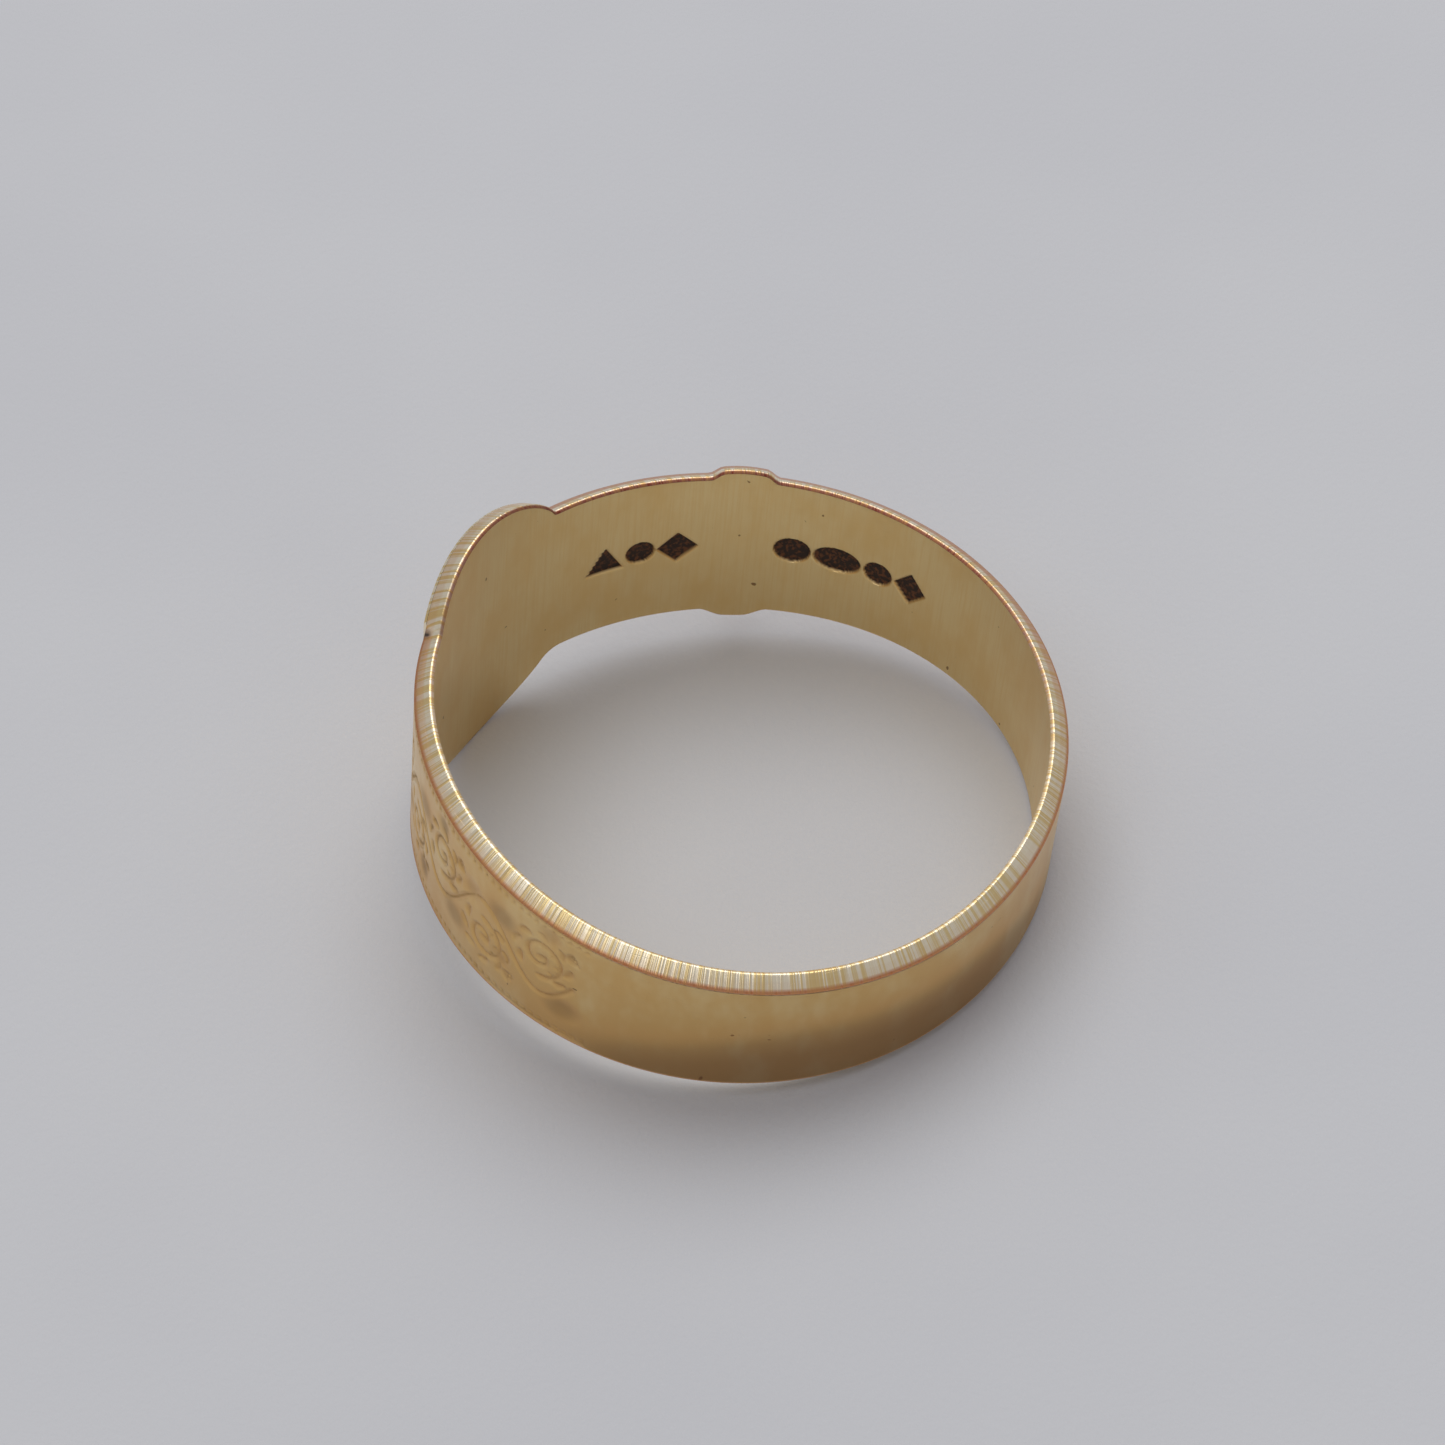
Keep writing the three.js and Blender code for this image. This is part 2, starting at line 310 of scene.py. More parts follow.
class Shape:
    """A mesh in the making: vertices in the ring's frame with their surface zones, and faces.

    A vertex's four zones go from 0 to 1: filed rim with painted sheen, edge with painted copper-red
    reflection, inside the bore, and dirt together with painted shade. Rim and inside together mark the
    rim's edge by the bore.
    """

    def __init__(self):
        self.points = []
        self.zones = []
        self.faces = []
        self.count = 0

    def add(self, points, zones):
        first = self.count
        self.points.append(points)
        self.zones.append(np.broadcast_to(zones, (len(points), 4)))
        self.count += len(points)
        return first

    def grid(self, points, zones, rows, columns, wrap_rows=False):
        """Adds rows of points that close on themselves, with quads between, and returns their indices."""
        index = self.add(points, zones) + np.arange(rows * columns).reshape(rows, columns)
        below = np.vstack([index, index[:1]]) if wrap_rows else index
        below = np.hstack([below, below[:, :1]])
        quads = np.stack([below[:-1, :-1], below[:-1, 1:], below[1:, 1:], below[1:, :-1]], axis=-1)
        self.faces.extend(quads.reshape(-1, 4).tolist())
        return index

    def stitch(self, one, one_order, two, two_order):
        """Closes the gap between two loops of different column counts with triangles."""
        i = j = 0
        while i < len(one) or j < len(two):
            next_one = one_order[i + 1] if i + 1 < len(one) else one_order[0] + LOOP_ORDER
            next_two = two_order[j + 1] if j + 1 < len(two) else two_order[0] + LOOP_ORDER
            a, b = one[i % len(one)], two[j % len(two)]
            if j >= len(two) or (i < len(one) and next_one <= next_two):
                i += 1
                self.faces.append([int(a), int(one[i % len(one)]), int(b)])
            else:
                j += 1
                self.faces.append([int(a), int(two[j % len(two)]), int(b)])

    def cap(self, loop):
        """Closes a loop with one face."""
        self.faces.append([int(i) for i in loop])


def rim_rows(steps=9):
    """Distances from the bore to the outer face, with the share of the edges' painted copper-red
    reflection.
    """
    tint_to_crest = [(0, 1), (0.25, 1), (0.5, 1), (0.7, 0.75), (0.85, 0.25), (1, 0)]
    near = [(share * CREST, copper_tinted) for share, copper_tinted in tint_to_crest]
    last = WALL - EDGE_LINE
    middle = [(radial, 0) for radial in np.linspace(1.3 * CREST, last - 0.03, steps)]
    return near + middle + [(last, 0.5), (WALL - 2 * FILLET, 1), (WALL - FILLET, 1), (WALL, 1)]


def edge_reflection_tint(degrees):
    """Painted reflection: how much copper-red tint both edges get, most on the keeper's side."""
    away = np.abs((degrees - EDGE_REFLECTION_AT + 180) % 360 - 180)
    return 0.12 + 0.88 * smooth(110, 50, away)


def rim_surface(line, sign):
    """The filed rim as rows of points from the bore outwards, with their zones."""
    points, zones = [], []
    thickness = rim_thickness(line)
    for radial, edge in rim_rows():
        fillet = FILLET if radial == WALL else 0
        degrees, half = drawn_in(line, filed_drop(radial, thickness) + fillet)
        points.append(ring_points(degrees, BORE_RADIUS + radial, sign * half))
        zones.append(rim_zones(line, radial, edge))
    return points, zones


def rim_zones(line, radial, edge):
    """One row of the rim's zones. The edge by the bore gets a deep copper-red painted reflection, and one
    corner gets painted shade.
    """
    ones = np.ones_like(line["half"])
    # The copper-red edge colour is painted reflection: deep red by the bore, spreading outwards on the
    # keeper's side.
    copper = edge_reflection_tint(line["degrees"])
    by_bore = radial < WALL / 2
    spread = 0.85 * copper * smooth(0.35 * WALL, 0.65 * WALL, radial)
    beyond_lobe = smooth(0.5, 0.0, line["lobe"])
    outer_copper_tint = (0.35 + 0.65 * beyond_lobe) * np.maximum(edge, spread)
    copper_tinted = edge * copper if by_bore else outer_copper_tint
    # Painted shade in the corner beside the lobe's right end.
    at_corner = 1 - np.abs(line["order"] - NOTCH_ORDER) / 0.7
    notch = np.maximum(at_corner, 0) * smooth(0.45 * WALL, 0.8 * WALL, radial)
    inside = edge if by_bore else 0
    return np.stack([ones, copper_tinted * ones, inside * ones, notch], axis=1)


def wave(degrees, height):
    """Slight hollows from hand work, in millimetres."""
    turn = degrees * DEG
    slow = np.sin(7 * turn + 0.9 * height) * np.sin(0.8 * height + 3 * turn + 1.3)
    quick = np.sin(19 * turn + 2.1) * np.sin(1.7 * height - 5 * turn)
    return HAND_WAVE * (slow + 0.5 * quick - 1.5)


def faded_wave(degrees, height, share):
    """The hand work's hollows, level again at the rims."""
    return wave(degrees, height) * smooth(1.0, 0.85, np.abs(share))


def face_dirt_and_shade(degrees, height, share, cut):
    """The darkest of the outer face's marks: dirt in the cuts and in the panel, painted shade by the solder
    and along the lower edge by the palm.
    """
    kept = 0.3 + 0.3 * smooth(72, 48, degrees)
    in_cuts = kept * np.clip(cut * 1.2, 0, 1)
    by_solder = solder_shadow(degrees, height)
    lower_shade = painted_lower_shade(degrees, np.broadcast_to(share, degrees.shape))
    return np.maximum.reduce([in_cuts, by_solder, panel_shade(degrees, height), lower_shade])


def band_outside(shape, upper, lower):
    """The outer face between its two filed rims, as one sheet."""
    top, top_zones = rim_surface(upper, 1)
    bottom, bottom_zones = rim_surface(lower, -1)
    share = np.linspace(1, -1, FACE_ROWS + 2)[1:-1]
    degrees, height = rows_across(upper, lower, filed_drop(WALL, rim_thickness(upper)) + FILLET, share)
    share = share[:, None]
    cut = band_engraving(degrees, height)
    level = faded_wave(degrees, height, share) - ENGRAVING_DEPTH * cut
    face = ring_points(degrees, OUTER_RADIUS + level, height)
    zeros = np.zeros(degrees.shape)
    dirt_and_shade = face_dirt_and_shade(degrees, height, share, cut)
    face_zones = np.stack([zeros, zeros, zeros, dirt_and_shade], axis=-1).reshape(-1, 4)
    points = np.concatenate(top + [face] + bottom[::-1])
    zones = np.concatenate(top_zones + [face_zones] + bottom_zones[::-1])
    return shape.grid(points, zones, 2 * len(top) + FACE_ROWS, degrees.shape[1])


def bore_rows():
    """Shares of the bore's half width, close together where the dents are."""
    below = np.linspace(-1, -DENTED_SHARE, 8)[:-1]
    dented = np.linspace(-DENTED_SHARE, DENTED_SHARE, 46)
    above = np.linspace(DENTED_SHARE, 1, 8)[1:]
    return np.concatenate([below, dented, above])


def band_inside(shape, upper, lower):
    """The bore, with its punched dents."""
    share = bore_rows()
    degrees, height = rows_across(upper, lower, CREST_DROP + FILLET, share)
    dent = punched_dents(degrees, height)
    level = MARK_DEPTH * dent - faded_wave(degrees + 40, height, share[:, None])
    points = ring_points(degrees, BORE_RADIUS + level, height)
    zeros = np.zeros(degrees.shape)
    zones = np.stack([zeros, zeros, zeros + 1, smooth(0.25, 0.8, dent)], axis=-1).reshape(-1, 4)
    return shape.grid(points, zones, len(share), degrees.shape[1])


def band_shape():
    shape = Shape()
    upper, lower = outline(UPPER, FACE_RUNS), outline(LOWER, FACE_RUNS)
    outside = band_outside(shape, upper, lower)
    bore_upper, bore_lower = outline(UPPER, BORE_RUNS), outline(LOWER, BORE_RUNS)
    inside = band_inside(shape, bore_upper, bore_lower)
    shape.stitch(inside[-1], bore_upper["order"], outside[0], upper["order"])
    shape.stitch(outside[-1], lower["order"], inside[0], bore_lower["order"])
    return shape


# ---- punched dents inside, and engraving outside --------------------------------------------------------


def polygon_dent(along, height, corners, radius, stretch=1.0):
    """1 inside a regular polygon that points up, with a short soft edge."""
    x, y = along / stretch, height
    reach = np.full_like(x, -1e9)
    for k in range(corners):
        turn = math.pi / 2 + math.pi * (2 * k + 1) / corners
        reach = np.maximum(reach, x * math.cos(turn) + y * math.sin(turn))
    return 1 - smooth(-MARK_EDGE, MARK_EDGE * 0.2, reach - radius * math.cos(math.pi / corners))


def round_dent(along, height, radius, stretch=1.0):
    return 1 - smooth(-MARK_EDGE, MARK_EDGE * 0.2, np.hypot(along / stretch, height) - radius)


def punched_dents(degrees, height):
    """Plain geometric dents on both sides of the keeper, the same as the CAD's but for soft edges."""
    def along(at):
        return (degrees - at) * BORE_RADIUS * DEG

    dents = [
        polygon_dent(along(-31), height + 0.14, 3, 0.74),
        round_dent(along(-38.3), height, 0.48),
        polygon_dent(along(-45.8), height, 4, 0.68),
        round_dent(along(-68.5), height, 0.54, 1.1),
        round_dent(along(-77.5), height, 0.52, 1.5),
        round_dent(along(-86), height, 0.48),
        polygon_dent(along(-93), height, 4, 0.68, 0.85),
    ]
    return np.maximum.reduce(dents)


def stroke(points, widths):
    """An engraver's cut: a line of points with a half width at each."""
    return np.array(points, float), np.array(widths, float)


def leaf_cut(x, y, turn, length, width, curl):
    """A short curved cut that swells and tapers, like a leaf."""
    steps = 7
    points, widths = [], []
    for k in range(steps):
        t = k / (steps - 1)
        points.append((x, y))
        widths.append(width * math.sin(math.pi * (0.1 + 0.86 * t)) ** 1.2)
        turn += curl / steps
        x += length / steps * math.cos(turn)
        y += length / steps * math.sin(turn)
    return stroke(points, widths)


def scroll(x, y, side, size):
    """One curl of the scroll with the leaves that grow from its back, and a bud in its middle."""
    steps = 26
    points, widths = [], []
    for k in range(steps):
        t = k / (steps - 1)
        turn = -0.5 * math.pi + 2 * math.pi * SCROLL_TURNS * t
        radius = size * (1 - 0.8 * t)
        points.append((x + radius * math.cos(turn), y + side * radius * math.sin(turn)))
        widths.append(0.13 * (1 - 0.3 * t))
    cuts = [stroke(points, widths), stroke([points[-1], (x + 0.02, y)], [0.15, 0.17])]
    for k in range(LEAVES):
        turn = -0.32 * math.pi + k * LEAF_TURN
        reach = size * (1.06 - 0.03 * k)
        px, py = x + reach * math.cos(turn), y + side * reach * math.sin(turn)
        cuts.append(leaf_cut(px, py, side * (turn + 0.2 * math.pi), 0.62, 0.17, side * 1.5))
        inner = size * (0.8 - 0.03 * k)
        px, py = x + inner * math.cos(turn + 0.1), y + side * inner * math.sin(turn + 0.1)
        cuts.append(leaf_cut(px, py, side * (turn + 0.85 * math.pi), 0.22, 0.07, side * 0.8))
    return cuts


def scroll_run(start, count):
    """Curls that alternate up and down along the strip, joined by a wavy stem with tendrils."""
    cuts = []
    for k in range(count):
        side = 1 if k % 2 == 0 else -1
        middle = start + (k + 0.5) * SCROLL_PITCH
        cuts += scroll(middle, side * SCROLL_OFFSET, side, SCROLL_SIZE)
        fork = middle + 0.5 * SCROLL_PITCH
        for lean in (0.5, 1.0, 1.5):
            cuts.append(leaf_cut(fork - 0.25, side * 1.25, side * lean, 0.6, 0.12, -side * 1.2))
    stem, widths = [], []
    for k in range(count * 10 + 1):
        x = start + k * SCROLL_PITCH / 10
        stem.append((x, -STEM_SWING * math.sin(math.pi * (x - start) / SCROLL_PITCH)))
        widths.append(0.11)
    cuts.append(stroke(stem, widths))
    return cuts


def cut_depth(cuts, x, y):
    """How deep the strokes cut at each point, from 0 to 1, with V-shaped sides."""
    depth = np.zeros(x.shape)
    for points, widths in cuts:
        margin = widths.max()
        near = (x > points[:, 0].min() - margin) & (x < points[:, 0].max() + margin)
        near &= (y > points[:, 1].min() - margin) & (y < points[:, 1].max() + margin)
        if not near.any():
            continue
        px, py = x[near], y[near]
        best = np.zeros(px.shape)
        for a, b, wa, wb in zip(points[:-1], points[1:], widths[:-1], widths[1:]):
            d = b - a
            t = np.clip(((px - a[0]) * d[0] + (py - a[1]) * d[1]) / max(d @ d, 1e-9), 0, 1)
            away = np.hypot(px - a[0] - t * d[0], py - a[1] - t * d[1])
            width = np.maximum(wa + (wb - wa) * t, 1e-3)
            best = np.maximum(best, np.minimum(1, width / CUT_SLOPE) * (1 - away / width))
        depth[near] = np.maximum(depth[near], best)
    return depth


def border_lines(x, height, limit):
    """A fine cut line beside each edge of an engraved panel, and a row of small slanted nicks inside it."""
    inset = limit - np.abs(height)
    line = 1 - np.abs(inset - 0.1) / 0.055
    nick = 1 - np.abs(inset - 0.27) / 0.1
    slanted = np.abs(((x + 0.5 * inset) / NICK_PITCH) % 1 - 0.5) * 2
    row = 0.8 * np.minimum(nick, 1 - 1.6 * slanted)
    return np.maximum(np.maximum(line, row), 0)


def ground_spots(degrees, height):
    """1 in the middle of each darkened spot and 0 outside them."""
    spots = np.zeros(degrees.shape)
    for at, middle, radius in GROUND_SPOTS:
        away = np.hypot((degrees - at) * ARC, height - middle)
        spots = np.maximum(spots, 1 - smooth(0.1 * radius, radius, away))
    return spots


def band_engraving(degrees, height):
    """The scroll panel on the plain side of the buckle."""
    panel = smooth(ENGRAVED_FROM - 1, ENGRAVED_FROM, degrees)
    panel = panel * smooth(ENGRAVED_TO + 1, ENGRAVED_TO, degrees)
    limit = strap_half_width(degrees) - EDGE_DROP - FILLET
    start = ENGRAVED_FROM * ARC + 0.2
    count = int((ENGRAVED_TO * ARC - start) / SCROLL_PITCH)
    depth = cut_depth(scroll_run(start, count), degrees * ARC, height)
    depth = np.maximum(depth, border_lines(degrees * ARC, height, limit))
    depth = np.maximum(depth, 0.8 * ground_spots(degrees, height))
    return depth * panel * smooth(limit, limit - 0.04, np.abs(height))


def painted_lower_shade(degrees, share):
    """Painted shade, darker towards the lower edge (share -1), that climbs and darkens towards the palm."""
    degrees = degrees % 360
    depth = smooth(LOWER_SHADE_FROM, LOWER_SHADE_FULL, degrees) * smooth(LOWER_SHADE_TO, LOWER_SHADE_FADES, degrees)
    reach = smooth(-0.12 + 0.9 * depth, -1.1 + 0.6 * depth, share)
    near = smooth(85, 105, degrees) * smooth(LOWER_SHADE_TO, LOWER_SHADE_FADES, degrees)
    return reach * (0.2 + 0.4 * near + 0.1 * depth)


def panel_shade(degrees, height):
    """Soft brown clouds in the engraved panel, where rubbing has not reached the cut-back ground."""
    shade = np.zeros(degrees.shape)
    for k in range(SHADED_CURLS):
        at = ENGRAVED_FROM * ARC + 0.2 + (k + 0.85) * SCROLL_PITCH
        side = 1 if k % 2 else -1
        away = np.hypot(degrees * ARC - at, 1.3 * (height - side * 1.15))
        shade = np.maximum(shade, 1 - smooth(0.2, 1.15, away))
    return 0.42 * shade


def solder_shadow(degrees, height):
    """Painted shade along the foot of the soldered pieces."""
    buckle = np.abs(degrees) * ARC - frame_half_length()
    buckle = np.where(np.abs(height) < strap_half_width(degrees), np.abs(buckle), 1)
    keeper = np.abs(np.abs(degrees - KEEPER_AT) * ARC - keeper_half_length())
    keeper = np.where(np.abs(height) < strap_half_width(degrees) - EDGE_DROP, keeper, 1)
    beside_belt = (degrees < BELT_START) & (degrees > BELT_TIP + BELT_POINT_SPAN)
    belt = np.where(beside_belt, np.abs(np.abs(height) - BELT_HALF_WIDTH), 1)
    away = np.minimum(np.minimum(buckle, keeper), belt)
    return 0.85 * (1 - smooth(0.02, 0.2, away))


# ---- the soldered pieces --------------------------------------------------------------------------------


def frame_half_length():
    """The buckle frame ends where the lobe's filed edge meets the outer face."""
    return BUCKLE_HALF_SPAN * ARC - EDGE_DROP - FRAME_MARGIN


def keeper_half_length():
    """Half the keeper's length along the ring, inside its lobe."""
    return KEEPER_HALF_SPAN * ARC - KEEPER_END_MARGIN


def frame_reach(turn):
    """The buckle frame's outline as a distance from its middle: straight ends and arched sides."""
    along, height, normal = lobe_curve(np.linspace(0.25, math.pi - 0.25, 160))
    inset = EDGE_DROP + FRAME_MARGIN
    x = along - inset * normal[:, 0]
    y = height - inset * normal[:, 1] + strap_half_width(x / ARC)
    inside = np.abs(x) < frame_half_length() - 0.01
    x, y = x[inside], y[inside]
    end = frame_half_length()
    end_y = np.linspace(y[0], -y[0], 40)
    edge_x = np.concatenate([x, -end + 0 * end_y, -x, end + 0 * end_y])
    edge_y = np.concatenate([y, end_y, -y, -end_y])
    return np.interp(turn, np.arctan2(edge_y, edge_x), np.hypot(edge_x, edge_y), period=2 * math.pi)


def window_reach(turn):
    """The window's outline, a rectangle with rounded corners."""
    squareness = 7
    c, s = np.abs(np.cos(turn)), np.abs(np.sin(turn))
    total = (c / WINDOW_HALF_LENGTH) ** squareness + (s / WINDOW_HALF_WIDTH) ** squareness
    return total ** (-1 / squareness)


def frame_turns():
    """Directions round the frame, closer together across the tongue's slots."""
    crowding = 0.35
    turns = np.linspace(0, 2 * math.pi, 360, endpoint=False)
    return turns - crowding * np.sin(2 * turns) / 2


def frame_rows(outer, inner):
    """Rows round the frame, as reach, level and zones: up its filed edge, over the bar and back below."""
    thickness = WALL + SOLDER_FILM + FRAME_EDGE
    top = SOLDER_FILM + FRAME_THICKNESS
    low = SOLDER_FILM + FRAME_EDGE
    plain, filed, copper_tinted, cut = [0, 0, 0, 0], [1, 0, 0, 0], [1, 0.4, 0, 0], [0, 0, 0, 0.5]
    rows = []
    for level in np.linspace(SEAM, low, 5):
        rows.append((outer + EDGE_DROP - filed_drop(WALL + level, thickness), level, filed))
    # The edge zone in this row is painted copper-red reflection.
    rows.append((outer - 0.1 * FRAME_BORDER, low + 0.25 * BORDER_RISE, copper_tinted))
    rows.append((outer - 0.5 * FRAME_BORDER, low + 0.5 * BORDER_RISE, plain))
    for inset, depth in FRAME_LINE:
        rows.append((outer - inset, low + 0.75 * BORDER_RISE - depth, cut))
    bar_outer, bar_inner = outer - FRAME_BORDER, inner + WINDOW_BEVEL
    bar_low = low + BORDER_RISE
    for t in np.linspace(0, 1, 13):
        dome = math.sin(0.5 * math.pi * min(1, 1.9 * t)) * (1 - 0.25 * max(0, t - 0.5))
        rows.append((bar_outer + (bar_inner - bar_outer) * t, bar_low + (top - bar_low) * dome, plain))
    rim_of_window = top - 0.06
    # Painted copper-red reflection on the window's rim.
    rows.append((inner + 0.03, rim_of_window, [0, 0.6, 0, 0]))
    rows.append((inner, rim_of_window - 0.05, plain))
    # Painted shade at the foot of the window's wall and on the frame's underside.
    rows.append((inner, SEAM, [0, 0, 0, 0.8]))
    rows += [(inner + (outer - inner) * t, SEAM, [0, 0, 0, 0.9]) for t in (0.25, 0.5, 0.75)]
    return rows


def buckle_frame_shape():
    """The frame: a filed edge flush with the band's rim, a cut line, a domed bar and a bevelled window."""
    shape = Shape()
    turns = frame_turns()
    rows = frame_rows(frame_reach(turns), window_reach(turns))
    points, zones = [], []
    for reach, level, zone in rows:
        x, y = reach * np.cos(turns), reach * np.sin(turns)
        slot = tongue_slot(x, y)
        level = level - slot * max(level - SOLDER_FILM - TONGUE_SEAT, 0)
        points.append(ring_points(x / ARC, OUTER_RADIUS + level, y))
        zones.append(np.tile(zone, (len(turns), 1)))
    shape.grid(np.concatenate(points), np.concatenate(zones), len(rows), len(turns), wrap_rows=True)
    return shape


def tongue_half_width(x):
    """The tongue's half width along the ring: a round heel, a taper and a round tip."""
    end = frame_half_length() - TONGUE_END_MARGIN
    heel, tip = -(end - TONGUE_HEEL), end - TONGUE_TIP
    t = np.clip((x - heel) / (tip - heel), 0, 1)
    straight = TONGUE_HEEL + (TONGUE_TIP - TONGUE_HEEL) * t
    beyond = np.where(x < heel, (heel - x) / TONGUE_HEEL, np.where(x > tip, (x - tip) / TONGUE_TIP, 0))
    return straight * np.sqrt(np.maximum(0, 1 - beyond**2))


def tongue_slot(x, y):
    """1 where the frame's end bars are cut away to seat the tongue."""
    return 1 - smooth(0.02, 0.06, np.abs(y) - tongue_half_width(x) - 0.01)


def buckle_tongue_shape():
    """A domed prong with a slightly rounded underside."""
    shape = Shape()
    end = frame_half_length() - TONGUE_END_MARGIN
    steps = 64
    along = -end * np.cos(np.linspace(0.03, math.pi - 0.03, steps))
    section = np.linspace(0, 2 * math.pi, 33)[:-1]
    rise = np.sin(section)
    lift = np.where(rise > 0, np.maximum(rise, 0) ** 0.8, 0.12 * rise)
    side = TONGUE_SEAT + 2 * SOLDER_FILM + TONGUE_UNDERSIDE
    points = []
    for x in along:
        half = float(tongue_half_width(np.array(x)))
        fullness = min(1, half / TONGUE_TIP) ** 0.7
        y = half * np.sign(np.cos(section)) * np.abs(np.cos(section)) ** 0.75
        level = side + (TONGUE_THICKNESS - TONGUE_UNDERSIDE) * fullness * lift
        points.append(ring_points(np.full_like(y, x / ARC), OUTER_RADIUS + level, y))
    index = shape.grid(np.concatenate(points), (0, 0, 0, 0), steps, len(section))
    shape.cap(index[0][::-1])
    shape.cap(index[-1])
    return shape


def keeper_profile(height, foot, crown):
    """The keeper's height over the band: low at its feet, round shoulders and a level crown."""
    share = np.clip((foot - np.abs(height)) / KEEPER_SHOULDER, 0, 1)
    return SOLDER_FILM + KEEPER_EDGE_HEIGHT + crown * np.sin(share * math.pi / 2)


def keeper_foot(x, side):
    """The height of the keeper's foot, a little inside the lobe's filed edge."""
    lobe = keeper_lobe(KEEPER_AT + x / ARC, side["flank"])
    return strap_half_width(np.array(float(KEEPER_AT))) + lobe - EDGE_DROP - KEEPER_FOOT_INSET


def keeper_loop_shape():
    """A low loop over the belt, reeded across, with rounded sides."""
    shape = Shape()
    foot = float(keeper_foot(0.0, UPPER))
    tunnel = BELT_HALF_WIDTH + 2 * SOLDER_FILM
    roof = 2 * SOLDER_FILM + BELT_THICKNESS
    crown = roof + KEEPER_THICKNESS - SOLDER_FILM - KEEPER_EDGE_HEIGHT
    half = keeper_half_length()
    height = foot * np.sin(np.linspace(-math.pi / 2, math.pi / 2, 90))
    height = np.unique(np.concatenate([height, [-tunnel - 0.01, -tunnel, tunnel, tunnel + 0.01]]))
    across = np.sin(np.linspace(-math.pi / 2, math.pi / 2, 61))
    reeds = np.abs(np.sin(0.5 * KEEPER_REEDS * math.pi * across)) ** 0.7
    side = smooth(0.8, 1.0, np.abs(across))
    points, zones = [], []
    for z in height:
        top = float(keeper_profile(z, foot, crown))
        bottom = roof if abs(z) <= tunnel else SOLDER_FILM
        relief = 0.5 * (top - SOLDER_FILM - KEEPER_EDGE_HEIGHT) / crown
        drop = relief * (KEEPER_REED_DEPTH * (1 - reeds) + KEEPER_SIDE_ROUND * side)
        level = np.concatenate([top - drop, [bottom, bottom]])
        x = np.concatenate([across * half, [half, -half]])
        stretch = (keeper_foot(x, UPPER if z > 0 else LOWER) - tunnel) / (foot - tunnel)
        beyond_tunnel = max(0, abs(z) - tunnel)
        shaped = z + np.sign(z) * beyond_tunnel * (stretch - 1)
        points.append(ring_points(KEEPER_AT + x / ARC, OUTER_RADIUS + level, shaped))
        # Darker in the reeds' grooves, and painted shade on the loop's underside.
        groove = 0.5 * smooth(0.35, 0.0, reeds) * (np.abs(across) < 0.85)
        dirt_and_shade = np.concatenate([groove, [0.4, 0.4]])
        zones.append(np.stack([0 * x, 0 * x, 0 * x, dirt_and_shade], axis=1))
    index = shape.grid(np.concatenate(points), np.concatenate(zones), len(height), len(across) + 2)
    shape.cap(index[0][::-1])
    shape.cap(index[-1])
    return shape


def belt_half_width(degrees):
    """The belt end's half width: parallel, then a rounded point."""
    to_tip = (degrees - BELT_TIP) * ARC
    share = np.clip(to_tip / BELT_POINT, 0, 1)
    return BELT_HALF_WIDTH * (1 - (1 - share) ** 1.9) ** 0.8


def belt_engraving(degrees, height, half):
    """The scroll on the belt end, with its border. Its very tip is plain."""
    along = -degrees * ARC
    start = -BELT_START * ARC + 0.3
    scrolls = cut_depth(scroll_run(start, BELT_CURLS), along, height)
    border = border_lines(-along, height, half - BELT_BEVEL)
    return np.maximum(scrolls, border) * (half > 0.4)


def belt_end_shape():
    """The engraved belt end, with a bevelled edge and a pointed tip."""
    shape = Shape()
    steps = np.linspace(0, 1, 300)
    degrees = BELT_TIP + 0.05 + (BELT_START - BELT_TIP - 0.05) * steps**1.1
    across = np.linspace(-1, 1, 91)
    top = SOLDER_FILM + BELT_THICKNESS
    grid_degrees = np.broadcast_to(degrees[:, None], (len(degrees), len(across)))
    half = belt_half_width(degrees)[:, None]
    height = across * np.maximum(half - BELT_BEVEL * np.minimum(1, half), 0.005)
    depth = belt_engraving(grid_degrees, height, half)
    from_keeper = np.abs(grid_degrees - KEEPER_AT) * ARC - keeper_half_length()
    beside_keeper = smooth(0.5, 0.2, np.abs(from_keeper))
    top = top - TIP_THINNING * smooth(2 * BELT_POINT, 0, (degrees - BELT_TIP) * ARC)[:, None]
    top_level = top - ENGRAVING_DEPTH * 0.8 * depth
    side_low = np.full((len(degrees), 1), SOLDER_FILM)
    side_high = top - BELT_BEVEL
    level = np.hstack([side_low, side_high, top_level, side_high, side_low])
    z = np.hstack([-half, -half, height, half, half])
    # Dark in the engraved cuts; painted shade on the belt beside the keeper's ends and at the foot of its
    # sides.
    dirt_and_shade = np.maximum(0.62 * np.clip(depth * 1.2, 0, 1), 0.5 * beside_keeper)
    side = np.full((len(degrees), 1), 0.4)
    dirt_and_shade = np.hstack([side, side * 0, dirt_and_shade, side * 0, side])
    # Painted copper-red reflection on the bevel's edges.
    edge = np.zeros_like(dirt_and_shade)
    edge[:, 1] = edge[:, -2] = 0.6
    zones = np.stack([0 * dirt_and_shade, edge, 0 * dirt_and_shade, dirt_and_shade], axis=-1).reshape(-1, 4)
    columns = len(across) + 4
    points = ring_points(np.repeat(degrees, columns), OUTER_RADIUS + level.ravel(), z.ravel())
    index = shape.grid(points, zones, len(degrees), columns)
    shape.cap(index[0])
    shape.cap(index[-1][::-1])
    return shape


# ---- from shapes to pieces ------------------------------------------------------------------------------


def rest_lean():
    """The ring lies on the buckle's lower crest and the palm side's rim, so it leans between them."""
    head = BORE_RADIUS + out_of_round(0)
    palm = BORE_RADIUS + LAND + out_of_round(180)
    return math.atan2((BUCKLE_WIDTH - PALM_WIDTH) / 2, head + palm)


